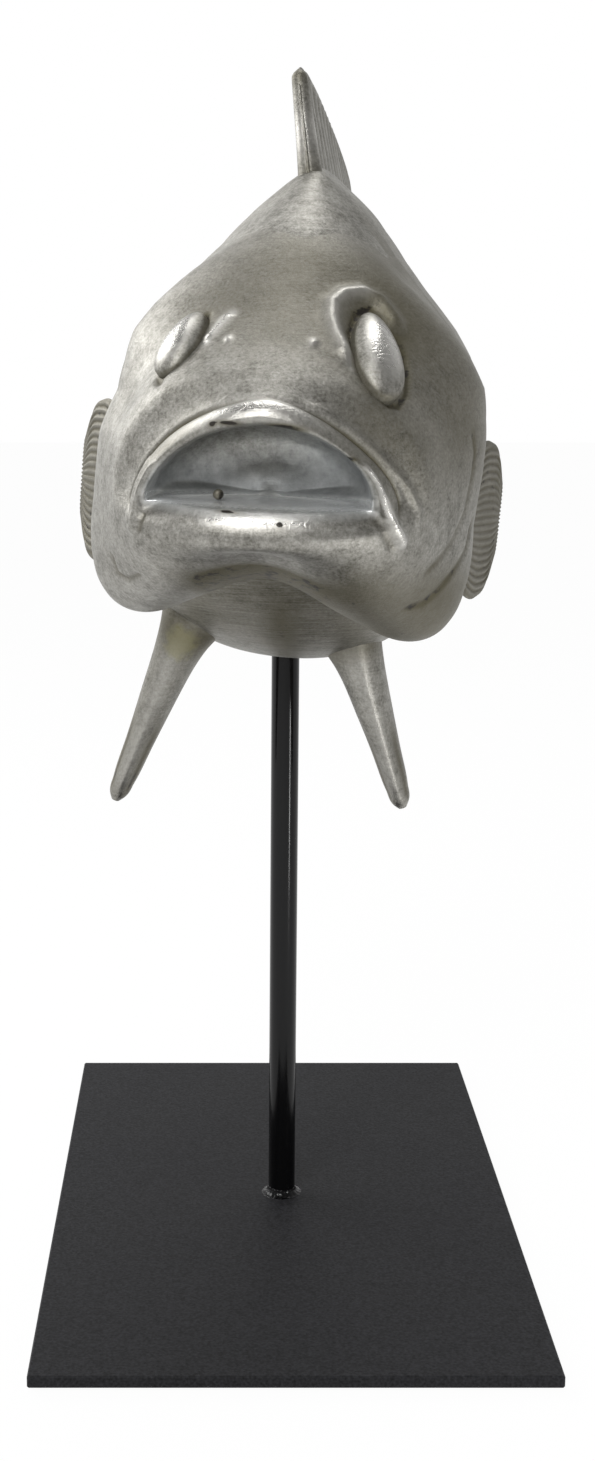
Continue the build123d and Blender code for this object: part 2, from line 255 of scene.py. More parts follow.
def weld_fillet():
    """Hollow fillet: from the plate to the rod along a quarter circle about the outer corner.

    Its leg grows and shrinks round the rod as 1 - share + share * sin(pi * saw) for the ripples,
    and by wander * sin(2 * angle) for an unsteady hand.
    """
    angle = circle(240)[None, :]
    turn = np.linspace(0, math.pi / 2, 10)[:, None]
    saw = (angle * ripple_count / (2 * math.pi) + pitch_drift * np.sin(3 * angle)) % 1
    leg = 1 - ripple_share + ripple_share * np.sin(math.pi * saw) + wander_share * np.sin(2 * angle)
    radius = rod_radius + weld_leg * leg * (1 - np.sin(turn))
    height = rod_low.z + weld_leg * leg * (1 - np.cos(turn))
    rows = np.stack([radius * np.cos(angle), radius * np.sin(angle), height], -1)
    skirt = rows[:1] * [1, 1, 0] + [0, 0, rod_low.z - weld_sink]
    inner = rows[-1:] * [0.9, 0.9, 1]
    return np.concatenate([skirt, rows, inner])


piece("weld", weld_fillet(), enamel, "stand", ["weld_bead"], "rod_enamel")


# Sleeve: a turned brass bush, cast into the belly. Only its foot can be seen, up
# the hole round the rod.


def turned_brass():
    """Lathe-turned brass, dulled by the casting: soft rings round the axis."""
    ring_pitch = 0.4 * MM
    plain_pitch = 0.314  # metres between the bands of a wave texture of scale 1
    material, tree, shader, place = new_material("turned_brass")
    rings = add(tree, "TexWave", {"Vector": place, "Scale": plain_pitch / ring_pitch, "Distortion": 0.3},
                bands_direction="Z").outputs["Fac"]
    wire(shader, {
        "Base Color": add(tree, "MixRGB", {"Fac": rings, "Color1": "#8C7440", "Color2": "#B39A5C"}),
        "Metallic": 1.0, "Roughness": 0.4,
    })
    return material


dress("rod_sleeve", turned_brass())


# Trunk: the rear of the casting, from inside the head to the root of the tail. It is
# cast resin, sanded, then covered with torn squares of silver leaf.
fish_lean = math.radians(4.5)
fish_turn = math.radians(7.5)
sleeve_set_back = 5 * MM
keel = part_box("rod_sleeve")[0].z - sleeve_set_back
snout_reach = 128 * MM
tail_root_reach = 150 * MM
body_width = 117 * MM
body_height = 152 * MM
swim_rise = 0.474 * body_height
chin_spread_share = 0.45

# Station, centre, half width, rise, drop, squareness above and below, chin lift: the
# same shares as the casting's cross sections, of its reach, height, width and height.
trunk_shares = np.array([
    (-0.688, -0.030, 0.300, 0.230, 0.200, 1.80, 2.20, 0),
    (-0.500, -0.006, 0.415, 0.400, 0.350, 1.70, 2.25, 0),
    (-0.250, 0.000, 0.464, 0.507, 0.458, 1.62, 2.30, 0),
    (0.000, 0.000, 0.470, 0.526, 0.474, 1.62, 2.30, 0),
    (0.267, 0.006, 0.427, 0.487, 0.454, 1.70, 2.20, 0),
    (0.533, 0.013, 0.333, 0.382, 0.368, 1.90, 2.00, 0),
    (0.787, 0.020, 0.197, 0.250, 0.243, 2.00, 2.00, 0),
    (0.970, 0.026, 0.108, 0.171, 0.164, 2.00, 2.00, 0),
    (1.000, 0.026, 0.070, 0.140, 0.134, 2.00, 2.00, 0),
])
side_line_depth = 0.7 * MM
side_line_width = 1.3 * MM
# Height above the swim line in millimetres, and how far the modelled sides bulge there beyond
# the cross section: share on the fish's left and on its right
uneven_shares = np.array([
    (-66, 0.10, 0.10), (-56, 0.10, 0.09), (-50, 0.065, 0.06), (-40, 0.03, 0.03), (-20, 0.0, 0.0),
    (0, 0.02, -0.01), (12, 0.05, -0.05), (21, 0.09, -0.02), (30, 0.085, 0.035), (38, 0.05, 0.035),
    (44, 0.0, 0.015), (50, -0.055, 0.0), (58, -0.10, -0.045), (67, -0.10, -0.02), (76, -0.02, 0.08),
])
right_jowl_lift = 1.2  # millimetres, like the three that follow
saddle_rise, saddle_middle, saddle_width = 4.6, -2.0, 9.0


def posed(points):
    """The fish's own frame into the world: leant about Y, turned about Z, and lifted to the keel."""
    lean = np.array([[math.cos(fish_lean), 0, math.sin(fish_lean)], [0, 1, 0],
                     [-math.sin(fish_lean), 0, math.cos(fish_lean)]])
    turn = np.array([[math.cos(fish_turn), math.sin(fish_turn), 0],
                     [-math.sin(fish_turn), math.cos(fish_turn), 0], [0, 0, 1]])
    return (points + [0, 0, swim_rise]) @ (turn @ lean).T + [0, 0, keel]


def smooth(low, high, value):
    """0 below low, 1 above high, and the cubic 3t^2 - 2t^3 between them."""
    t = np.clip((value - low) / (high - low), 0, 1)
    return t * t * (3 - 2 * t)


def through(knots, rows, at):
    """Cubic through the rows at their knots, taken at the given places.

    Between two knots it blends their rows and slopes by (2t^3 - 3t^2 + 1), (t^3 - 2t^2 + t),
    (3t^2 - 2t^3) and (t^3 - t^2). The places are one per new row, or one per new row and column.
    """
    knots = np.asarray(knots, float)
    slopes = np.gradient(rows, knots, axis=0)
    span = np.clip(np.searchsorted(knots, at, side="right") - 1, 0, len(knots) - 2)
    step = knots[span + 1] - knots[span]
    t = (at - knots[span]) / step
    pick, after = (span,), (span + 1,)
    if at.ndim == 2:
        column = np.arange(at.shape[1])
        pick, after = (span, column), (span + 1, column)
    shape = t.shape + (1,) * (rows[pick].ndim - t.ndim)
    t, step = t.reshape(shape), step.reshape(shape)
    return ((2 * t**3 - 3 * t**2 + 1) * rows[pick] + (t**3 - 2 * t**2 + t) * step * slopes[pick]
            + (3 * t**2 - 2 * t**3) * rows[after] + (t**3 - t**2) * step * slopes[after])


def section_loop(half_width, centre, rise, drop, square_up, square_down, lift, columns):
    """Closed loop of across and above, evenly spaced along its length from the top round to the top.

    Above its widest line |x / a|^n + |z / b|^n = 1, with its own b and n above and below. The lower
    half is lifted by lift * low^2 * exp(-(x / (spread * a))^2), low being its share of the drop.
    """
    angle = np.linspace(math.pi / 2, -math.pi / 2, 1201)
    across, above = np.cos(angle).clip(0), np.sin(angle)
    square = np.where(above >= 0, square_up, square_down)
    height = np.where(above >= 0, rise, drop)
    x = half_width * across ** (2 / square)
    z = centre + height * np.sign(above) * np.abs(above) ** (2 / square)
    z += lift * np.clip(-above, 0, 1) ** 2 * np.exp(-((x / (chin_spread_share * half_width)) ** 2))
    length = np.append(0, np.cumsum(np.hypot(np.diff(x), np.diff(z))))
    even = np.linspace(0, length[-1], columns // 2 + 1)
    half = np.stack([np.interp(even, length, x), np.interp(even, length, z)], -1)
    return np.concatenate([half, half[-2:0:-1] * [-1, 1]])


def body_loops(shares, columns):
    """Stations and section loops of a table of shares, in metres."""
    stations, loops = [], []
    for station, centre, half_width, rise, drop, square_up, square_down, lift in shares:
        stations.append(station * (snout_reach if station < 0 else tail_root_reach))
        sizes = [half_width * body_width, *(share * body_height for share in (centre, rise, drop))]
        loops.append(section_loop(*sizes, square_up, square_down, lift * body_height, columns))
    return np.array(stations), np.array(loops)


def around(grid):
    """Unit normals of a grid with closed columns: the cross product of its two differences."""
    along = np.gradient(grid, axis=0)
    across = np.roll(grid, -1, axis=1) - np.roll(grid, 1, axis=1)
    normal = np.cross(across, along)
    normal /= np.linalg.norm(normal, axis=-1, keepdims=True) + 1e-12
    outward = grid - grid.mean(axis=1, keepdims=True)
    return normal * np.sign((normal * outward).sum())


def bell(distance, width):
    """exp(-(distance / width)^2)."""
    return np.exp(-((distance / width) ** 2))


def uneven(grid):
    """Scales a grid across by 1 + share of its height and side, a share that fades at the lips.

    The share passes from one side to the other by tanh(x / 10 mm). Under the dorsal fin the back
    rises by saddle rise * bell(distance from the saddle's middle), and the jowl on the fish's
    right is lifted by a smooth step. All of it is worked out in millimetres.
    """
    x, y, z = np.moveaxis(grid / MM, -1, 0)
    left, right = (np.interp(z, uneven_shares[:, 0], uneven_shares[:, k]) for k in (1, 2))
    side = np.tanh(x / 10)
    share = ((left + right) / 2 + (left - right) / 2 * side) * smooth(-106, -80, y)
    jowl = right_jowl_lift * smooth(-35, -58, z) * smooth(0, 1, -side) * smooth(-20, -40, y)
    saddle = saddle_rise * bell(x - saddle_middle, saddle_width) * smooth(40, 60, z)
    saddle *= smooth(-56, -30, y) * smooth(95, 70, y)
    return np.stack([x * (1 + share), y, z + jowl + saddle], -1) * MM


def silver_leaf(name, filler=None):
    """Silver leaf on sanded resin, aged: a mottled satin skin with fine rubbing scratches. Olive
    brown tarnish stays in hollows, crests are burnished bright, and chips show the dark ground.
    The tarnish map also paints shade in that olive brown, and the burnish map paints highlights in
    the same pale grey as the rubbing.

    The maps tarnish (over 1 is a chip), burnish, brushing (how strong the scratches are) and
    paint (silver paint where no leaf could be laid) are the piece's own. A filler is the place of
    a dab of yellowish filling paste and its size.
    """
    sheet_size, torn_size = 26 * MM, 10 * MM
    cloud_size, blotch_size, speck_size = 12 * MM, 3.6 * MM, 1.0 * MM
    sheet_share, cloud_share, blotch_share, speck_share = 0.06, 0.45, 0.85, 1.15
    scratch_length, scratch_width = 15 * MM, 0.5 * MM  # drawn twice as wide as real ones
    scratch_start = 0.58  # only the peaks of the noise are scratches
    tone_reach = 0.36  # of the noises either way, between the leaf's two greys
    crack_size, crack_width_share = 5 * MM, 0.03
    material, tree, shader, place = new_material(name)
    tarnish_and_shade, burnish_and_highlight, brushing, paint = (
        add(tree, "Attribute", attribute_name=key).outputs["Fac"]
        for key in ("tarnish_and_shade", "burnish_and_highlight", "brushing", "paint"))

    torn = add(tree, "TexNoise", {"Vector": place, "Scale": 1 / torn_size, "Detail": 4.0})
    torn = add(tree, "VectorMath", {0: torn.outputs["Color"], 1: (torn_size,) * 3, 2: place},
               operation="MULTIPLY_ADD")
    squares = add(tree, "TexVoronoi", {"Vector": torn, "Scale": 1 / sheet_size}, distance="CHEBYCHEV")
    sheet = add(tree, "SeparateColor", {"Color": squares.outputs["Color"]}).outputs["Red"]
    cloud, blotch, speck = (
        add(tree, "TexNoise", {"Vector": place, "Scale": 1 / size, "Detail": detail, "Roughness": roughness})
        for size, detail, roughness in ((cloud_size, 3.0, 0.5), (blotch_size, 5.0, 0.65),
                                        (speck_size, 4.0, 0.75)))
    scratches = []
    for turn in (0.12, -0.45):
        brushed = add(tree, "Mapping", {
            "Vector": place, "Rotation": (0, turn, turn / 2),
            "Scale": (1 / scratch_length, 1 / scratch_length, 1 / scratch_width)})
        scratches.append(add(tree, "TexNoise", {"Vector": brushed, "Scale": 1.0, "Detail": 2.0}))
    scratch = add(tree, "Math", dict(enumerate(scratches)), operation="MAXIMUM")

    # The leaf's grey, whose noises are centred on the middle of its range
    marks = add(tree, "Math", {0: scratch, 1: scratch_start}, operation="SUBTRACT")
    tone = add(tree, "Math", {0: marks, 1: brushing}, operation="MULTIPLY")
    for source, share in ((sheet, sheet_share), (cloud, cloud_share), (blotch, blotch_share),
                          (speck, speck_share)):
        tone = add(tree, "Math", {0: source, 1: share, 2: tone}, operation="MULTIPLY_ADD")
    middle = (sheet_share + cloud_share + blotch_share + speck_share) / 2
    tone = add(tree, "MapRange", {
        "Value": tone, "From Min": middle - tone_reach, "From Max": middle + tone_reach})
    colour = add(tree, "MixRGB", {"Fac": tone, "Color1": "#5E5C54", "Color2": "#BDBBB5"})
    # Tarnish and painted shade come in blotches, rubbing and painted highlights make crests pale, and
    # a chip lies where the tarnish and 1.4 of the blotch together pass 1.7
    aged_and_shaded = add(tree, "Math", {0: blotch, 1: 1.8, 2: -0.55}, operation="MULTIPLY_ADD")
    aged_and_shaded = add(tree, "Math", {0: aged_and_shaded, 1: tarnish_and_shade}, operation="ADD", use_clamp=True)
    aged_and_shaded = add(tree, "Math", {0: aged_and_shaded, 1: tarnish_and_shade}, operation="MULTIPLY", use_clamp=True)
    rubbed_and_highlight = add(tree, "Math", {0: burnish_and_highlight, 1: 0.8}, operation="MULTIPLY")
    chip = add(tree, "Math", {0: blotch, 1: 1.4, 2: -1.7}, operation="MULTIPLY_ADD")
    chip = add(tree, "Math", {0: chip, 1: tarnish_and_shade}, operation="ADD")
    chip = add(tree, "Math", {0: chip, 1: 6.0}, operation="MULTIPLY", use_clamp=True)
    # Silver paint, paler where the burnish map paints the light on the mouth's floor
    sprayed = add(tree, "Math", {0: blotch, 1: 0.9}, operation="MULTIPLY")
    sprayed = add(tree, "Math", {0: burnish_and_highlight, 1: 0.8, 2: sprayed}, operation="MULTIPLY_ADD", use_clamp=True)
    sprayed = add(tree, "MixRGB", {"Fac": sprayed, "Color1": "#696C6D", "Color2": "#E2E4E4"})
    layers = [(aged_and_shaded, "#544F3C"), (rubbed_and_highlight, "#D2D0CB"), (chip, "#2B2721"), (paint, sprayed)]
    if filler:
        # Full at the spot, gone at about its size, with a blotchy edge
        spot, size = filler
        away = add(tree, "VectorMath", {0: place, 1: tuple(spot)}, operation="DISTANCE").outputs["Value"]
        patch = add(tree, "Math", {0: away, 1: -1 / size, 2: 0.75}, operation="MULTIPLY_ADD")
        patch = add(tree, "Math", {0: blotch, 1: 1.3, 2: patch}, operation="MULTIPLY_ADD")
        patch = add(tree, "Math", {0: patch, 1: 2.2, 2: -1.1}, operation="MULTIPLY_ADD", use_clamp=True)
        layers.append((add(tree, "Math", {0: patch, 1: 0.4}, operation="MULTIPLY"), "#938E62"))
    for share, layer in layers:
        colour = add(tree, "MixRGB", {"Fac": share, "Color1": colour, "Color2": layer})

    # Scratches, specks, blotches and the leaf's cracks all stand in one height map
    crack = add(tree, "TexVoronoi", {"Vector": torn, "Scale": 1 / crack_size}, feature="DISTANCE_TO_EDGE")
    crack = add(tree, "MapRange", {
        "Value": crack, "From Max": crack_width_share, "To Min": 1.0, "To Max": 0.0})
    crack = add(tree, "Math", {0: crack, 1: burnish_and_highlight}, operation="MULTIPLY")
    height = add(tree, "Math", {0: brushing, 1: 0.5}, operation="ADD")
    height = add(tree, "Math", {0: scratch, 1: height}, operation="MULTIPLY")
    for source, share in ((speck, 1.1), (blotch, 1.6), (crack, 0.5)):
        height = add(tree, "Math", {0: source, 1: share, 2: height}, operation="MULTIPLY_ADD")
    rough = add(tree, "MapRange", {"Value": speck, "To Min": 0.40, "To Max": 0.58})
    metal = add(tree, "Math", {0: aged_and_shaded, 1: -0.45, 2: 1.0}, operation="MULTIPLY_ADD")
    metal = add(tree, "Math", {0: paint, 1: -0.3, 2: metal}, operation="MULTIPLY_ADD", use_clamp=True)
    wire(shader, {
        "Base Color": colour,
        "Roughness": add(tree, "Math", {0: burnish_and_highlight, 1: -0.28, 2: rough}, operation="MULTIPLY_ADD"),
        "Metallic": metal,
        "Normal": add(tree, "Bump", {"Height": height, "Strength": 0.35, "Distance": 0.3 * MM}),
    })
    return material


def leafed(name, node, grid, tarnish_and_shade, burnish_and_highlight=0.0, brushing=0.0, paint=0.0, finish=None, rim="fan"):
    """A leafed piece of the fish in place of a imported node. Its maps are spread over its grid."""
    maps = {"tarnish_and_shade": tarnish_and_shade, "burnish_and_highlight": burnish_and_highlight, "brushing": brushing, "paint": paint}
    maps = {key: np.broadcast_to(value, grid.shape[:2]) for key, value in maps.items()}
    piece(name, posed(grid), finish or leaf, "fish", [node], "silver_leaf", rim, **maps)


leaf = silver_leaf("aged_silver_leaf")
stations, loops = body_loops(trunk_shares, 240)
along = np.linspace(stations[0], stations[-1], 230)
outline = through(stations, loops, along)
trunk = np.stack([outline[..., 0], along[:, None] + 0 * outline[..., 0], outline[..., 1]], -1)
round_share = np.abs(np.linspace(-1, 1, 241)[:-1])[None, :]  # 1 at the back, 0 at the keel
half_girth = 170 * MM
line_place = 0.66 - 0.16 * smooth(-0.02, 0.13, along)[:, None]  # sinks from the shoulder to mid height
line_distance = (round_share - line_place) * half_girth
side_line = bell(line_distance, side_line_width) * smooth(0.0, 0.02, along)[:, None]
trunk = uneven(trunk)
trunk -= around(trunk) * (side_line_depth * side_line)[..., None]
x, y, z = np.moveaxis(trunk / MM, -1, 0)
# Painted shade: the throat term darkens the trunk under the head, the flank term its left side away from the
# light
throat = smooth(-20, -60, y) * smooth(0, -30, z)
nape = smooth(10, -20, y) * smooth(0, 30, z)
flank = smooth(6, 30, x) * smooth(-30, 10, z) * smooth(70, -30, y)
seam = bell(x - 3, 5) * smooth(-40, -55, z) * smooth(20, -10, y)
leafed("fish_trunk", "fish_body", trunk, brushing=0.2 + 0.8 * throat,
       tarnish_and_shade=0.12 + 0.5 * throat + 0.04 * nape + 0.2 * flank + 0.3 * seam)


# Head: the front of the casting, from the gill covers to the mouth. Its covers stand
# proud of the trunk, and the lips, brows, nostrils and folds are cast with it.
head_shares = np.array([
    (-0.962, -0.059, 0.170, 0.112, 0.080, 2.10, 2.60, 0.000),
    (-0.932, -0.059, 0.258, 0.162, 0.126, 2.20, 3.00, 0.020),
    (-0.880, -0.059, 0.318, 0.199, 0.168, 2.15, 3.20, 0.033),
    (-0.797, -0.053, 0.372, 0.247, 0.230, 2.00, 3.20, 0.053),
    (-0.672, -0.046, 0.432, 0.318, 0.303, 1.80, 3.20, 0.098),
    (-0.516, -0.039, 0.490, 0.423, 0.372, 1.88, 3.40, 0.190),
    (-0.344, -0.033, 0.500, 0.503, 0.392, 1.61, 3.40, 0.236),
    (-0.080, -0.026, 0.486, 0.545, 0.372, 1.56, 3.20, 0.262),
])
# Height above the swim line and place along the fish of the gill covers' rear edge
cover_edge = np.array([
    (-73, -69.1), (-61, -48.6), (-36.5, -31.4), (-9, -26.2), (18, -28.8), (55, -32), (91, -27.5),
]) * MM
# How the covers' edge turns in on the throat: share of the section, and millimetres behind the edge
cover_tucks = [(0.86, 9.0), (0.90, 3.0), (0.935, 0.6), (0.965, 0.0), (0.988, -0.4), (0.998, -1.2)]
throat_edge = -66 * MM  # hidden behind the throat
# Loops round the mouth, in millimetres: half width on the fish's right and left, height, rise,
# drop, squareness above on both sides and below, place of the upper and of the lower lip, and
# how far their ends lie back
mouth_loops = [
    (38.6, 36.8, -14.9, 29.6, 9.6, 1.65, 1.65, 3.0, -121.4, -125.2, 14.0, 15.0),
    (37.8, 35.6, -14.9, 28.3, 7.8, 1.65, 1.68, 3.2, -123.6, -125.8, 14.5, 16.0),
    (36.6, 33.8, -14.7, 26.0, 5.4, 1.66, 1.75, 3.4, -125.6, -125.3, 14.8, 17.0),
    (35.3, 31.6, -14.4, 23.6, 3.0, 1.68, 1.85, 3.8, -126.2, -123.8, 14.6, 17.2),
    (34.2, 30.0, -14.3, 22.4, 1.3, 1.70, 2.00, 4.4, -125.0, -122.2, 13.6, 16.2),
    (33.6, 29.3, -14.2, 21.8, 0.5, 1.72, 2.05, 5.0, -121.5, -120.0, 11.0, 13.0),
    (32.4, 28.4, -13.7, 21.2, 0.2, 1.80, 2.10, 5.0, -114.0, -117.0, 6.0, 9.0),
    (30.0, 26.6, -12.7, 19.4, 0.9, 2.00, 2.15, 3.6, -107.0, -113.0, 3.0, 5.0),
    (25.0, 22.4, -11.9, 15.4, 1.3, 2.10, 2.20, 3.0, -102.0, -110.5, 1.5, 2.0),
    (16.0, 14.4, -11.6, 9.6, 1.3, 2.00, 2.00, 2.5, -100.0, -108.5, 0.5, 0.5),
    (4.5, 4.5, -11.8, 3.0, 0.8, 2.00, 2.00, 2.0, -102.5, -106.5, 0.0, 0.0),
]
mouth_skew = -0.030
mouth_tilt = 0.045
lip_bow_width = 38.5


def mouth_loop(right_width, left_width, height, rise, drop, right_square, left_square, square_down,
               upper, lower, upper_bow, lower_bow, columns):
    """Section loop laid round the mouth, skewed, and bent back by bow * |x / bow width|^2.2.

    Its two sides have their own widths. Its place and its bow pass from the upper lip's to the
    lower lip's at the corners, and its lower part tilts up to the fish's left by tilt * x.
    """
    left_side = section_loop(left_width, height, rise, drop, left_square, square_down, 0, columns)
    right_side = section_loop(right_width, height, rise, drop, right_square, square_down, 0, columns)
    loop = np.concatenate([left_side[:columns // 2], right_side[columns // 2:]])
    x, z = loop[:, 0], loop[:, 1]
    below = smooth(0.51, 0.62, 1 - np.abs(np.linspace(1, -1, columns + 1)[:-1]))
    front = upper + (lower - upper) * below
    bow = upper_bow + (lower_bow - upper_bow) * below
    return np.stack([x + mouth_skew * (z + 11), front + bow * np.abs(x / lip_bow_width) ** 2.2,
                     z + mouth_tilt * x * smooth(8, -12, z)], -1) * MM


def to_path(points, path):
    """Distance from each point to a broken line, and its share of the way along it.

    Each stretch of the line gives its nearest point, and the nearest stretch counts.
    """
    path = np.asarray(path, float)
    lengths = np.linalg.norm(np.diff(path, axis=0), axis=-1)
    starts = np.append(0, np.cumsum(lengths))
    best, where = np.full(points.shape[:-1], 1e4), np.zeros(points.shape[:-1])
    for start, end, length, before in zip(path[:-1], path[1:], lengths, starts):
        share = np.clip(((points - start) @ (end - start)) / length**2, 0, 1)
        distance = np.linalg.norm(points - start - share[..., None] * (end - start), axis=-1)
        nearer = distance < best
        best = np.where(nearer, distance, best)
        where = np.where(nearer, (before + share * length) / starts[-1], where)
    return best, where


head_columns, skin_rows, front_rows = 352, 150, 120
head_stations, head_loops = body_loops(head_shares, head_columns)
low_share = 1 - np.abs(np.linspace(1, -1, head_columns + 1)[:-1])[None, :]  # 0 on top, 1 below
# The place of the covers' edge depends on its height there, so it is settled in a few rounds
rim = np.full((1, head_columns), -40 * MM)
for _ in range(8):
    height = through(head_stations, head_loops, rim)[..., 1]
    rim = np.interp(height, cover_edge[:, 0], cover_edge[:, 1])
under = smooth(0.80, 0.97, low_share)
rim = rim * (1 - under) + throat_edge * under

# Skin from the covers' edge to the lips
controls = np.array([mouth_loop(*row, head_columns) for row in mouth_loops])
lip_start = controls[0][None, :, 1] + 10 * MM
joint_step = 1.5 * MM
share = np.linspace(0, 1, skin_rows)[:, None]
skin_start = rim - 2 * MM  # leaves room for the turned-in edge
station = skin_start + (lip_start - skin_start) * share
skin = through(head_stations, head_loops, station)
# At the nape the head runs into the trunk without a step
trunk_stations, trunk_loops = body_loops(trunk_shares, head_columns)
nape_overlap = 1.003
nape = (smooth(26 * MM, 5 * MM, rim - station) * smooth(0.62, 0.42, low_share))[..., None]
skin = skin + nape * (through(trunk_stations, trunk_loops, station) * nape_overlap - skin)
skin = np.stack([skin[..., 0], station, skin[..., 1]], -1)

# The covers' edge, turned in on the throat, and not at the nape
tucks = []
middle = np.array([0, -0.033 * body_height])
for scale, back in cover_tucks:
    sunk = 1 - (1 - scale) * (1 - 0.93 * nape[0])
    across, above = ((skin[0][:, [0, 2]] - middle) * sunk + middle).T
    tucks.append(np.stack([across, rim[0] + back * MM, above], -1))

# From the skin over the lips into the mouth, through the loops round it
joint = through(head_stations, head_loops, lip_start + joint_step)[0]
joint = np.stack([joint[:, 0], lip_start[0] + joint_step, joint[:, 1]], -1)
controls = np.concatenate([[joint], skin[-1:], controls])
knots = np.append(0, np.cumsum(np.linalg.norm(np.diff(controls, axis=0), axis=-1).mean(1)))
front_places = np.linspace(knots[1], knots[-1], front_rows + 1)[1:]
front = through(knots, controls, front_places)
# The rows of the lip's crease and its crest, and of the inner edge of the lips
crease_row, inner_row = len(tucks) + skin_rows - 1 + np.searchsorted(front_places, knots[[2, 5]])
crest_row = crease_row + 7
head = np.concatenate([uneven(np.concatenate([tucks, skin])), front])

# Folds and ridges of the face, in millimetres: broken line of across, along and height above
# the swim line, half width, and height out of the skin (a groove where it is negative)
fish_left_orbit = [
    (20.7, -102.7, 24.6), (16.9, -99.2, 28.6), (13.9, -94.4, 32.8), (12.1, -89.4, 36.9),
    (11.6, -83.8, 41.2), (14.4, -79.3, 44.3), (19.4, -75.9, 45.3), (24.3, -75.4, 43.3),
    (29.0, -78.0, 38.6), (31.5, -81.8, 33.4),
]
fish_left_socket = [
    (26.9, -79.0, 38.9), (22.5, -79.0, 41.1), (18.7, -83.5, 39.0), (18.0, -91.1, 33.7),
    (19.5, -97.5, 28.7), (22.8, -103.2, 23.1), (26.9, -106.1, 18.5), (30.9, -105.9, 15.5),
    (33.5, -103.2, 15.0), (35.2, -97.4, 18.0), (34.9, -91.4, 22.9), (33.0, -86.0, 28.7),
    (29.7, -81.7, 34.7),
]
fish_right_brow = [(-22.0, -96.0, 28.0), (-20.7, -94.2, 30.1), (-18.6, -90.5, 33.6), (-16.8, -87.5, 36.5)]
fish_right_socket = [
    (-24.3, -82.2, 37.2), (-24.5, -88.0, 32.3), (-26.0, -95.7, 26.1), (-30.1, -98.3, 21.4),
    (-33.7, -100.5, 16.7),
]
fish_left_fold = [
    (7.6, -118.9, 14.5), (14.1, -117.6, 12.3), (20.6, -115.9, 8.7), (27.2, -113.1, 3.9),
    (33.2, -109.7, -1.6), (38.1, -106.0, -6.5), (41.9, -102.9, -12.8), (42.1, -103.7, -19.3),
]
fish_right_fold = [
    (-32.0, -113.5, -2.9), (-36.1, -111.3, -10.7), (-38.1, -109.4, -19.6), (-38.2, -106.8, -27.4),
]
fish_left_maxilla = [
    (25.3, -120.0, 0.0), (27.4, -119.1, -2.6), (29.8, -117.8, -5.7), (31.7, -116.6, -9.1),
    (33.9, -113.6, -13.6), (36.2, -112.0, -17.5), (38.1, -109.7, -20.9), (39.4, -106.9, -23.9),
]
fish_right_maxilla = [
    (-30.1, -117.7, -4.4), (-32.2, -116.4, -7.4), (-34.4, -114.8, -12.3), (-36.2, -111.2, -18.3),
    (-36.9, -111.0, -23.1), (-37.7, -108.0, -26.5),
]
face_folds = [
    (fish_left_orbit, 2.6, 2.2), (fish_left_socket, 1.1, -1.0), (fish_right_brow, 2.1, 1.1),
    (fish_right_socket, 1.2, -1.2), (fish_left_fold, 1.4, 0.9), (fish_right_fold, 1.6, 0.5),
    (fish_left_maxilla, 1.6, 1.5), (fish_right_maxilla, 1.3, 1.0),
    ([(29.4, -113.8, -13.1), (31.5, -114.3, -16.5), (34.2, -113.7, -20.4), (36.7, -110.1, -24.3)], 1.5, -0.5),
    ([(-33.7, -112.1, -18.9), (-34.1, -113.4, -21.6), (-35.0, -111.8, -25.5)], 1.1, -0.7),
    ([(-46.3, -89.2, -33.5), (-44.1, -85.9, -40.4), (-40.3, -89.6, -41.4), (-35.2, -98.9, -38.4)], 1.1, -0.8),
    ([(0.4, -121.7, 14.4), (0.9, -125.0, 11.0), (0.6, -125.0, 8.0)], 0.4, -0.15),
    ([(13.2, -122.0, 9.2), (13.6, -123.0, 5.0)], 0.4, -0.2),
    ([(9.5, -121.0, 13.9), (13.0, -120.5, 12.4), (16.5, -119.5, 10.6)], 0.5, -0.3),
    ([(53.2, -74.9, 11.8), (56.2, -72.3, 2.3), (55.7, -74.3, -7.3), (55.0, -75.2, -14.6),
      (52.5, -80.5, -22.1), (48.4, -88.6, -28.7), (43.4, -95.0, -33.2)], 1.5, -0.5),
    ([(58.0, -63.8, -14.7), (56.7, -68.8, -25.7), (51.7, -79.3, -34.6), (45.6, -84.5, -41.3),
      (38.4, -90.9, -42.8)], 1.5, -0.6),
]
# Across and height of small pits, and of the chips in the leaf, which bare the dark ground, with
# their half length and half width
nostrils = [(-15.5, 29.4), (8.3, 30.2)]
eye_pit = (-34.3, 16.8)
chips = [
    (4.5, 7.5, 6.0, 1.2), (-11, 7.6, 4.0, 0.7), (-15, 6.8, 1.0, 0.7), (22, 0.5, 2.0, 0.6),
    (5.5, -18.4, 1.3, 0.9), (-9.0, -16.4, 3.5, 0.5),
]
lip_crease_depth, cover_lip_rise, cover_groove_depth = 0.9, 0.8, 1.3
swell_rise = 0.25


def fade(share, part=0.12):
    """1 along a line, and down to 0 over the given part of it at both ends."""
    return smooth(0, part, share) * smooth(0, part, 1 - share)


def from_row(row):
    """Distance of each point of the head to the point of the given row in its column, in millimetres."""
    return np.linalg.norm(head - head[row], axis=-1) / MM


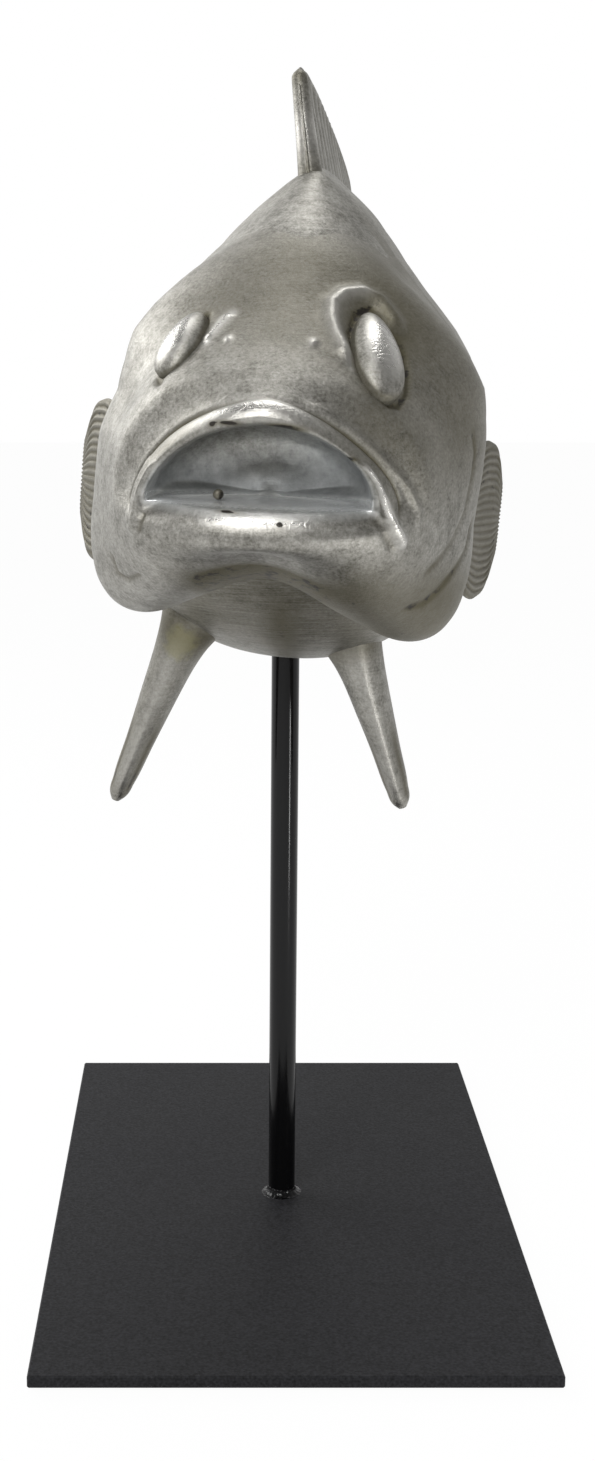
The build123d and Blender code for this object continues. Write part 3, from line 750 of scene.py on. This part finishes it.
def cast_detail():
    """Height of the cast detail over the head in millimetres: folds, nostrils, creases, cover edges.

    Each fold is rise * bell(distance to its line, width), each pit or groove a bell of its
    distance, and a slow swell sin(x / 9) * sin(y / 11) * sin(z / 8) unsettles the whole skin.
    """
    height = np.zeros(head.shape[:2])
    for line, width, rise in face_folds:
        distance, share = to_path(head / MM, line)
        height += rise * bell(distance, width) * fade(share) * outer
    pit = bell(np.hypot(x - eye_pit[0], z - eye_pit[1]), 1.5) * forward
    height += 0.8 * nostril - 1.3 * pit
    crease = bell(from_row(crease_row), 0.8) * smooth(0.60, 0.52, low_share)
    height -= lip_crease_depth * crease * (0.5 + 0.5 * smooth(0.04, 0.16, low_share))
    ahead = rim / MM - y
    covered = smooth(0.50, 0.62, low_share) * smooth(0.86, 0.74, low_share)
    groove = bell(ahead - 7, 1.5) + 0.45 * bell(ahead - 13, 1.6) * smooth(0.5, 0.62, low_share)
    height += (cover_lip_rise * bell(ahead - 3.4, 2.0) - cover_groove_depth * groove) * covered
    return height + swell_rise * np.sin(x / 9 + 1.3) * np.sin(y / 11) * np.sin(z / 8) * outer


def wear_and_painted_light(height):
    """Tarnish, burnish and paint over the head, from the cast detail's height in millimetres.

    Tarnish = 0.1 + 0.7 hollow + 0.56 brow + 3.2 throat + 0.45 flank, cut off at 1, and then the
    chips and a darker patch on the right of the upper lip. The brow term is partly brownish dirt
    and partly painted shade on the forehead, the throat term painted shade under the chin, and the
    flank term painted shade on the fish's left, away from the light. Burnish lies on the crests of
    the lips, on the ridges round the eyes and the mouth and on the nostrils, from rubbing and as
    painted highlights. The mouth is painted inside, most on the fish's left and low down, which
    paints shade in its upper part on the fish's right, and burnish on its floor paints light there.
    """
    inside = np.zeros((len(head), 1))
    inside[-front_rows:, 0] = smooth(0.36, 0.48, np.linspace(0, 1, front_rows))
    above_tilt = z - mouth_tilt * x
    hollow = smooth(0.15, -1.0, height)
    # Partly brownish dirt, partly painted shade on the forehead
    brow = smooth(14, 38, z) * bell(x, 34) * (0.1 + 0.9 * smooth(-42, -76, y))
    # Painted shade under the chin
    throat = bell(np.hypot((x + 2) * 0.6, z + 38), 9) * smooth(-114, -104, y)
    # Painted shade on the fish's left, away from the light
    flank = smooth(6, 30, x) * (smooth(-30, 10, z) + 1.5 * smooth(-22, -40, z))
    tarnish_and_shade = np.clip(0.10 + 0.7 * hollow + 0.56 * brow + 3.2 * throat + 0.45 * flank, 0, 1)
    chipped = sum(bell(np.hypot((x - across) / length, (z - level) / width), 1.0)
                  for across, level, length, width in chips) * (y < -112)
    # A darker patch on the fish's right of the upper lip
    darker_lip_right = bell(from_row(crest_row), 5) * smooth(-14, -24, x) * smooth(-12, 0, z)
    tarnish_and_shade = tarnish_and_shade * (1 - 0.9 * inside) + 1.5 * chipped + 0.45 * darker_lip_right * (1 - inside)

    # Rubbing on the crests, ridges and nostrils, which also paints their highlights
    crest = bell(from_row(crest_row), 3.2) * smooth(-3, 3, z) * (0.10 + 0.90 * bell(x + 5, 15))
    lower_lip = bell(above_tilt + 18.3, 1.6) * smooth(-19, -14, x) * smooth(17, 12, x)
    lower_lip *= smooth(-112, -116, y)
    distance, share = to_path(head / MM, fish_left_maxilla)
    ridge = bell(distance, 1.6) * fade(share)
    for line, width, part in ((fish_left_orbit[:7], 2.2, 0.6), (fish_right_brow, 2.0, 0.9)):
        ridge += part * bell(to_path(head / MM, line)[0], width)
    burnish_and_highlight = np.clip(crest + 0.8 * lower_lip + 0.9 * ridge * outer + 0.7 * nostril, 0, 1)
    # Painted light on the mouth's floor
    lit_mouth_floor = smooth(-11.0, -12.5, above_tilt)
    burnish_and_highlight = burnish_and_highlight * (1 - inside) + 0.9 * inside * lit_mouth_floor
    # Painted shade: less pale paint high in the mouth on the fish's right
    shaded = smooth(-12, 3, z) * smooth(30, -10, x)
    paint = inside * (1 - 0.9 * shaded) * (1 - np.clip(1.5 * chipped, 0, 1))
    return {"tarnish_and_shade": tarnish_and_shade, "burnish_and_highlight": burnish_and_highlight, "paint": paint}


x, y, z = np.moveaxis(head / MM, -1, 0)
forward = smooth(-28, -44, y)
outer = np.arange(len(head))[:, None] < inner_row
nostril = sum(bell(np.hypot(x - across, z - level), 1.1) for across, level in nostrils) * forward
detail = cast_detail()
head_wear_and_light = wear_and_painted_light(detail)
head += around(head) * (detail * MM)[..., None]
nape_map = smooth(-60 * MM, -30 * MM, head[..., 1]) * smooth(20 * MM, 40 * MM, head[..., 2])
leafed("fish_head", "fish_body", head, brushing=0.1 + 0.1 * nape_map, **head_wear_and_light)


# Eyes: cast almond domes that lean out of their sockets, leafed over like the rest and
# bright on top from rubbing and a painted highlight.


def eye_dome(x, z, length, width, bulge, slope, lift):
    """Almond dome over the head's point nearest to (x, z), in millimetres.

    It looks along the head's normal there. Its outline is (width * sin a * (1 - 0.16 cos a),
    length * cos a), and its rings rise by bulge * (1 - r^2)^0.6 out of a sunk skirt.
    """
    first = len(tucks) + 60  # well ahead of the gill covers
    face = head[first:crease_row - 4]
    flat = face[..., [0, 2]] - np.array([x, z]) * MM
    row, column = np.unravel_index(np.argmin((flat**2).sum(-1)), flat.shape[:2])
    look = head_normals[first + row, column]
    # Seen from the front the eye leans by a share of its height, whatever way it looks
    long_way = np.array([-slope * np.sign(x), 0, 1])
    long_way[1] = -(look @ long_way) / look[1]
    long_way /= np.linalg.norm(long_way)
    wide_way = np.cross(look, long_way)
    angle = circle(120)[None, :]
    skirt = [-9.0, -4.0, -1.2]
    ring = np.append(np.ones(len(skirt)), np.cos(np.linspace(0.12, math.pi / 2 - 0.02, 40)))[:, None]
    rise = lift + np.append(skirt, bulge * (1 - ring[len(skirt):, 0] ** 2) ** 0.6)[:, None]
    wide = width * np.sin(angle) * (1 - 0.16 * np.cos(angle)) * ring
    long = length * np.cos(angle) * ring
    return face[row, column] + (wide[..., None] * wide_way + long[..., None] * long_way
                                + (rise + 0 * angle)[..., None] * look) * MM


head_normals = around(head)
for name, shape in (("left_eye", (26.2, 27.6, 17.8, 7.5, 4.8, 0.36, 0.8)),
                    ("right_eye", (-29.5, 26.9, 13.2, 6.8, 4.2, 0.35, 0.4))):
    dome = eye_dome(*shape)
    up_share = np.linspace(0, 1, len(dome))[:, None]
    # Their tops carry a painted highlight
    leafed(f"fish_{name}", name, dome, brushing=0.1, tarnish_and_shade=0.2 + 0.5 * smooth(0.30, 0.05, up_share),
           burnish_and_highlight=smooth(0.30, 0.80, up_share))


# Small ball in the mouth: a bead of casting resin that stayed on its floor. It was not
# filed off, and was leafed over with the rest.
bead_radius = 1.5 * MM
bead_place = np.array([-13.0, -114.5, -12.5]) * MM
bead_angle = np.linspace(0.05, math.pi - 0.05, 16)
bead = turned(np.stack([bead_radius * np.sin(bead_angle), -bead_radius * np.cos(bead_angle)], -1), 32)
# Its slight pale touch is a painted highlight on the dark ball
leafed("fish_bead", "fish_body", bead + bead_place, tarnish_and_shade=0.95, burnish_and_highlight=0.15)


# Dorsal fin: a long cast blade, thick and flared where it meets the back, with a stout
# first spine and a fan of ribs. It leans to the fish's right.


def round_blade(columns):
    """Angles round a blade, crowded towards its two edges: a - 0.35 sin 2a."""
    angle = circle(columns)[None, :]
    return angle - 0.35 * np.sin(2 * angle)


def blade(root, axes, sizes, profile, steps, columns, count=1, depth=0.0, scallop=0.0, fan=0.0,
          start=0.0, flare=(0.0, 0.0, 0.0, 1.0)):
    """Fin between its root and its rim, in a frame of chord, thickness and span directions.

    Every section is (middle + half * cos a, thick * sin a) along and across the chord, its sizes
    running smoothly through the profile's rows. Rays are ribs depth * cos(count * turn of the fan)
    from the start share upwards, which fade towards the chord's ends, and the rim is scalloped
    between them. At the body the blade flares by depth * exp(-rise / reach), the rise being counted
    from its front and rear shares.
    """
    chord_way, thick_way, span_way = axes
    chord, length, thickness = sizes
    profile = np.array(profile)
    share = np.linspace(profile[0, 0], 1, steps)[:, None]
    middle, half, thick = through(profile[:, 0], profile[:, 1:], share[:, 0]).T[..., None]
    angle = round_blade(columns)
    along_chord = np.cos(angle)
    across = np.sign(np.sin(angle)) * np.abs(np.sin(angle)) ** 0.8
    wave = np.cos(math.pi * count * along_chord * (1 + fan * (1 - share)))
    inner = smooth(1.0, 0.86, np.abs(along_chord)) * smooth(start, start + 0.25, share)
    inner = inner * smooth(1.02, 0.88, share)
    flare_depth, front_share, rear_share, flare_reach = flare
    skin_share = (front_share + rear_share) / 2 + (rear_share - front_share) / 2 * along_chord
    spread = flare_depth * np.exp(-np.clip(share - skin_share, 0, 1) * length / flare_reach)
    chord_place = chord * (middle + half * along_chord) + spread * along_chord
    thick_place = (thickness * thick + spread) * across + depth * wave * inner * np.sign(across)
    span_place = length * share * (1 - scallop * (0.5 - 0.5 * wave) * smooth(0.82, 1.0, share))
    points = root + sum(place[..., None] * way for place, way in
                        ((chord_place, chord_way), (thick_place, thick_way), (span_place, span_way)))
    return points, wave * inner


def turned_about(angle, axis, vectors):
    """Vectors turned about a unit axis: v cos t + (axis x v) sin t + axis (axis . v)(1 - cos t)."""
    angle, axis = math.radians(angle), np.asarray(axis, float)
    return [v * math.cos(angle) + np.cross(axis, v) * math.sin(angle)
            + axis * (axis @ v) * (1 - math.cos(angle)) for v in vectors]


def at_share(along, across, above):
    """A point of the fish, from shares of its reach, width and height."""
    reach = snout_reach if along < 0 else tail_root_reach
    return np.array([across * body_width, along * reach, above * body_height])


def fin_piece(name, grid, wave, tarnish_and_shade=0.15, grime=0.5, rub=0.25):
    """Leafed fin: grime lies between its ribs, and rubbing brightens their crests."""
    tarnish_and_shade = np.clip(tarnish_and_shade + grime * smooth(0.2, -0.8, wave), 0, 1)
    leafed(f"fish_{name}", name, grid, tarnish_and_shade, rub * smooth(0.2, 0.9, wave), 0.3, rim="strip")


across_way, along_way, up_way = np.eye(3)
dorsal_chord, dorsal_height = 152 * MM, 60 * MM
dorsal_axes = turned_about(-2.0, up_way, [along_way, -across_way, up_way])
dorsal_axes = turned_about(-13.0, dorsal_axes[0], dorsal_axes)
dorsal_axes = turned_about(11.5, dorsal_axes[1], dorsal_axes)
# Profile of a fin: share of its span, middle of its chord, half chord, half thickness
dorsal_profile = [
    (0.00, 0.000, 0.500, 0.50), (0.30, -0.005, 0.490, 0.44), (0.60, -0.010, 0.477, 0.36),
    (0.80, -0.028, 0.442, 0.27), (0.93, 0.000, 0.385, 0.20), (1.00, 0.050, 0.250, 0.10),
]
dorsal_root = at_share(0.253, 0.056, 0.330)
dorsal, dorsal_wave = blade(
    dorsal_root, dorsal_axes, (dorsal_chord, dorsal_height, 7 * MM), dorsal_profile, 130, 360,
    count=13, depth=0.40 * MM, scallop=0.008, fan=0.25, start=0.10, flare=(5.0 * MM, 0.08, 0.06, 4.5 * MM))
up_share = np.linspace(0, 1, len(dorsal))[:, None]
# Painted shade low on the fin, where it meets the back, and grime towards its tip
dorsal_shade_and_grime = 0.30 + 0.35 * smooth(0.45, 0.25, up_share) + 0.25 * smooth(0.7, 1.0, up_share)
fin_piece("dorsal_fin", dorsal, dorsal_wave, dorsal_shade_and_grime, 0.4, 0.12)
# The first spine tapers to a round tip, and a fillet spreads it out at the back
spine_thick, spine_taper, spine_fillet = 4.9 * MM, 0.46, 5.5 * MM
spine_share = np.linspace(-0.02, 1, 110)[:, None]
spine_tip = np.sqrt(np.clip(1 - 0.99 * smooth(0.93, 1.0, spine_share) ** 2, 0, 1))
spine_radius = (spine_thick * (1 - spine_taper * spine_share) * spine_tip
                + spine_fillet * np.exp(-np.clip(spine_share - 0.13, 0, 1) * 15))
spine_centre = (dorsal_root + dorsal_axes[0] * dorsal_chord * (-0.468 + 0.006 * spine_share)
                + dorsal_axes[2] * dorsal_height * spine_share * 0.858)
spine_angle = circle(72)[None, :]
spine = (spine_centre[:, None] + (spine_radius * np.cos(spine_angle))[..., None] * dorsal_axes[0]
         + (0.9 * spine_radius * np.sin(spine_angle))[..., None] * dorsal_axes[1])
# The bright band partway up the spine is a painted highlight
leafed("fish_dorsal_spine", "dorsal_fin", spine, brushing=0.2, burnish_and_highlight=0.5 * bell(spine_share - 0.60, 0.13),
       tarnish_and_shade=0.3 + 0.3 * smooth(0.5, 0.3, spine_share) + 0.4 * smooth(0.8, 1.0, spine_share))


# Tail fin: a tall fan of cast resin on edge, ribbed and leafed over, which grows out of the
# root of the tail and thins to a hollowed rear rim.
tail_height = 0.026
tail_profile = [
    (-0.12, 0.0, 0.135, 0.60), (0.00, 0.0, 0.165, 0.50), (0.25, 0.0, 0.235, 0.34),
    (0.60, 0.0, 0.385, 0.17), (1.00, 0.0, 0.490, 0.09),
]
tail, tail_wave = blade(
    at_share(0.920, 0, tail_height), (up_way, across_way, along_way), (112 * MM, 83 * MM, 13 * MM),
    tail_profile, 130, 360, count=15, depth=0.6 * MM, scallop=0.04, start=0.12)
# The rim is cut back in a hollow of 1 - (distance from its middle / half width)^2
fork_depth, fork_half_width = 8.5 * MM, 58 * MM
fork = 1 - ((tail[..., 2] - tail_height * body_height) / fork_half_width) ** 2
rear = smooth(0.5, 1.0, np.linspace(0, 1, len(tail)))[:, None]
tail[..., 1] -= fork_depth * np.clip(fork, 0, 1) * rear
fin_piece("tail_fin", tail, tail_wave)


# Anal fin: a short ribbed blade under the root of the tail, cast with the body and
# leafed over.
anal_slope = math.radians(25.7)
anal_axes = [np.array([0, math.cos(anal_slope), math.sin(anal_slope)]), across_way,
             np.array([0, math.sin(anal_slope), -math.cos(anal_slope)])]
anal_profile = [
    (-0.15, -0.01, 0.50, 0.62), (0.10, 0.00, 0.50, 0.45), (0.50, 0.03, 0.45, 0.32),
    (0.85, 0.06, 0.34, 0.22), (1.00, 0.08, 0.18, 0.12),
]
anal, anal_wave = blade(
    at_share(0.660, 0, -0.222), anal_axes, (58 * MM, 40 * MM, 7 * MM), anal_profile, 90, 200,
    count=5, depth=0.7 * MM, scallop=0.06, fan=0.1, start=0.15)
fin_piece("anal_fin", anal, anal_wave)


# Pectoral fins: cast fans behind the gill covers, ribbed and scalloped, that stand
# off the flanks, the fish's right one a little larger and wider out than its left.
pectoral_profile = [
    (-0.12, 0.0, 0.16, 0.50), (0.00, 0.0, 0.21, 0.46), (0.35, 0.0, 0.37, 0.34), (0.72, 0.0, 0.47, 0.20),
    (0.90, 0.0, 0.385, 0.15), (1.00, 0.0, 0.22, 0.09),
]
for side, sign, stand_off, above, chord, length in (("left", 1, 23.5, -0.155, 56.0, 50.0),
                                                    ("right", -1, 35.0, -0.142, 59.0, 53.0)):
    turn = math.radians(stand_off)
    axes = [up_way, np.array([sign * math.cos(turn), -math.sin(turn), 0]),
            np.array([sign * math.sin(turn), math.cos(turn), 0])]
    fan, fan_wave = blade(
        at_share(-0.190, sign * 0.405, above), axes, (chord * MM, length * MM, 7 * MM), pectoral_profile,
        120, 380, count=19, depth=0.22 * MM, scallop=0.025, fan=0.35, start=0.25)
    fin_piece(f"{side}_pectoral_fin", fan, fan_wave, 0.70, 0.25, 0.08)


# Pelvic fins: stout cast fingers that taper and part under the belly, with a ridge
# down the front and a shallow hollow beside it. The fish's right one is set in filler.
pelvic_profile = [
    (-0.10, 0.00, 0.50, 0.52), (0.10, 0.00, 0.50, 0.51), (0.35, 0.00, 0.46, 0.43), (0.70, 0.03, 0.36, 0.31),
    (0.90, 0.05, 0.27, 0.245), (0.97, 0.05, 0.20, 0.19), (1.00, 0.05, 0.10, 0.10),
]
pelvic_rake = 8.0  # how far back its tip lies, in millimetres
pelvic_ridge, pelvic_fillet, pelvic_fillet_reach = 0.9 * MM, 3.0 * MM, 6 * MM
right_filler = posed(np.array([-31.0, -38.0, -68.0]) * MM)
filled_leaf = silver_leaf("filled_silver_leaf", (right_filler, 8 * MM))
for side, sign, across, length, spread, grime, finish in (
        ("left", 1, 0.180, 69.0, 24.0, 0.20, leaf), ("right", -1, 0.238, 76.5, 24.3, 0.34, filled_leaf)):
    drop = math.sqrt(length**2 - spread**2 - pelvic_rake**2)
    span = np.array([sign * spread, pelvic_rake, -drop]) / length
    chord_way = along_way - span * span[1]
    chord_way /= np.linalg.norm(chord_way)
    finger, _ = blade(
        at_share(-0.203, sign * across, -0.360), (chord_way, np.cross(span, chord_way), span),
        (24 * MM, length * MM, 15.5 * MM), pelvic_profile, 130, 120, flare=(2.4 * MM, 0.06, 0.06, 7 * MM))
    share = np.linspace(pelvic_profile[0][0], 1, len(finger))[:, None]
    angle = round_blade(120) - math.pi  # 0 at the front edge
    ridge = bell(angle, 0.35) * smooth(0.0, 0.3, share) * smooth(1.0, 0.85, share)
    dent = bell(angle + 0.95, 0.4) + bell(angle - 0.95, 0.4)
    dent = dent * smooth(0.45, 0.7, share) * smooth(1.0, 0.9, share)
    finger = finger - chord_way * (pelvic_ridge * ridge)[..., None]
    middle = finger.mean(axis=1, keepdims=True)
    inward = np.clip(-sign * (finger - middle)[..., :1] / (7 * MM), 0, 1)
    fillet = pelvic_fillet * np.exp(-np.clip(share - 0.10, 0, 1) * length * MM / pelvic_fillet_reach)
    finger = finger - sign * across_way * (fillet[..., None] * inward)
    finger = middle + (finger - middle) * (1 - 0.13 * dent)[..., None]
    tarnish_and_shade = np.clip(grime + 0.7 * dent + 0.5 * bell(share - 0.12, 0.10), 0, 1)
    # The pale front ridge carries a painted highlight
    leafed(f"fish_{side}_pelvic_fin", f"{side}_pelvic_fin", finger, tarnish_and_shade, 0.3 * ridge, 0.3,
           finish=finish, rim="strip")


# Floor: a pale studio sweep. To the camera it is the same white as the wall behind, with
# a trace of the shadow, and in reflections it is lit from the left and darker in front.
floor_mesh = bpy.data.meshes.new("studio_floor")
reach = 6.0
floor_mesh.from_pydata([(-reach, -reach, 0), (reach, -reach, 0), (reach, reach, 0), (-reach, reach, 0)], [],
                       [(0, 1, 2, 3)])
floor = bpy.data.objects.new("studio_floor", floor_mesh)
bpy.context.scene.collection.objects.link(floor)
floor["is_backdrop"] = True
white_share = 0.97  # of what the camera sees, the rest being paper that takes the shadow
floor_material, tree, paper, place = new_material("white_paper")
wire(paper, {"Base Color": "#F4F4F4", "Roughness": 0.9, "Specular IOR Level": 0.1})
glow = add(tree, "Emission", {"Color": "#FFFFFF", "Strength": 1.0})
ray = add(tree, "LightPath").outputs
spot = add(tree, "SeparateXYZ", {"Vector": place}).outputs
mirrored = ray["Is Glossy Ray"]
for axis, start, end, low, high in (("X", -0.5, 0.5, 1.0, 0.6), ("Y", -0.6, 0.0, 0.45, 1.0)):
    level = add(tree, "MapRange", {"Value": spot[axis], "From Min": start, "From Max": end,
                                   "To Min": low, "To Max": high})
    mirrored = add(tree, "Math", {0: mirrored, 1: level}, operation="MULTIPLY")
seen = add(tree, "Math", {0: ray["Is Camera Ray"], 1: mirrored}, operation="MAXIMUM")
seen = add(tree, "Math", {0: seen, 1: white_share}, operation="MULTIPLY")
both = add(tree, "MixShader", {0: seen, 1: paper, 2: glow})
add(tree, "OutputMaterial", {"Surface": both}, is_active_output=True)
floor_mesh.materials.append(floor_material)


# Light: a white room for the camera, and for the leaf a soft room that is darker overhead,
# to the right and behind the camera, with two lamps in front, two behind and one low down.
world = bpy.data.worlds.new("studio")
bpy.context.scene.world = world
world.use_nodes = True
tree = world.node_tree
tree.nodes.clear()
direction = add(tree, "TexCoord").outputs["Generated"]
direction = add(tree, "SeparateXYZ", {"Vector": direction}).outputs
level = add(tree, "MapRange", {"Value": direction["Z"], "From Max": 0.9, "To Min": 0.90, "To Max": 0.38})
for axis, first, last in (("X", 1.15, 0.85), ("Y", 0.30, 1.20)):
    side_level = add(tree, "MapRange", {"Value": direction[axis], "From Min": -1.0,
                                        "To Min": first, "To Max": last})
    level = add(tree, "Math", {0: level, 1: side_level}, operation="MULTIPLY")
camera_ray = add(tree, "LightPath").outputs["Is Camera Ray"]
level = add(tree, "Mix", {0: camera_ray, 2: level, 3: 1.0}, data_type="FLOAT")
sky = add(tree, "Background", {"Color": "#FFFFFF", "Strength": level})
add(tree, "OutputWorld", {"Surface": sky})


def lamp(name, place, size, power, height=None, target=(0, -0.05, 0.28)):
    """Area lamp that faces the target, square unless it has a height of its own."""
    light = bpy.data.lights.new(name, "AREA")
    light.shape = "RECTANGLE"
    light.size, light.size_y = size, height or size
    light.energy = power
    made = bpy.data.objects.new(name, light)
    made.location = place
    away = np.array(place) - np.array(target)
    made.rotation_euler = (math.acos(away[2] / np.linalg.norm(away)), 0, math.atan2(away[0], -away[1]))
    bpy.context.scene.collection.objects.link(made)


lamp("front_left", (-0.45, -1.05, 1.05), 0.45, 7.5)
lamp("overhead", (0.08, 0.40, 1.25), 0.5, 3.5)
lamp("front_top", (-0.18, -0.60, 1.25), 0.35, 2.6)
lamp("rear_left", (-0.90, 0.55, 0.90), 0.8, 8.5)
lamp("low_right", (0.31, -0.34, 0.07), 0.03, 0.35, 0.14, (0, 0, 0.07))


# Camera: where the photograph was taken from, worked out from the vanishing point of the
# plate's edges and the upright rod.
camera_pitch = math.radians(90 - 11.415)  # 11.415 degrees below the level
camera_data = bpy.data.cameras.new("camera")
camera_data.sensor_width = 36
camera_data.lens = 45.854
camera_data.shift_x = 0.05611
camera_data.clip_start = 0.01
camera = bpy.data.objects.new("camera", camera_data)
camera.location = (-0.02392, -0.62815, 0.30289)
camera.rotation_euler = (camera_pitch, 0, 0)
bpy.context.scene.collection.objects.link(camera)
bpy.context.scene.camera = camera
bpy.context.scene.view_settings.view_transform = "Standard"

low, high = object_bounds()
